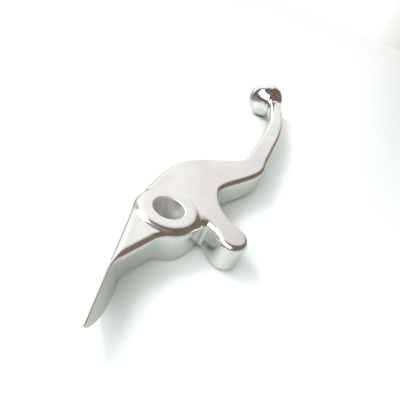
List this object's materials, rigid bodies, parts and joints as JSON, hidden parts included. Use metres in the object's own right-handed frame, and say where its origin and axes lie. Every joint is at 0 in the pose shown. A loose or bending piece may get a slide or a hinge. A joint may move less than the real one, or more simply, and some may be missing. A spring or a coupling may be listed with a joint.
{
  "type": "brake lever",
  "caption": "Polished one-piece brake lever with a bored pivot boss, a plunger finger, a thin switch tail and a doglegged blade that curls to a ball.",
  "frame": {"origin": "on the pivot bore's axis, half way through the plate's thickness", "axes": "+Z along the pivot bore towards the side with the taller boss face, +X from the pivot towards the ball"},
  "size_m": [0.1719, 0.0301, 0.0176],
  "materials": {
    "polished_aluminium": "polished, satin on the flat faces and bright on the ball, with soft edges"
  },
  "bodies": {
    "root": {"lever": "polished_aluminium"}
  },
  "joints": []
}
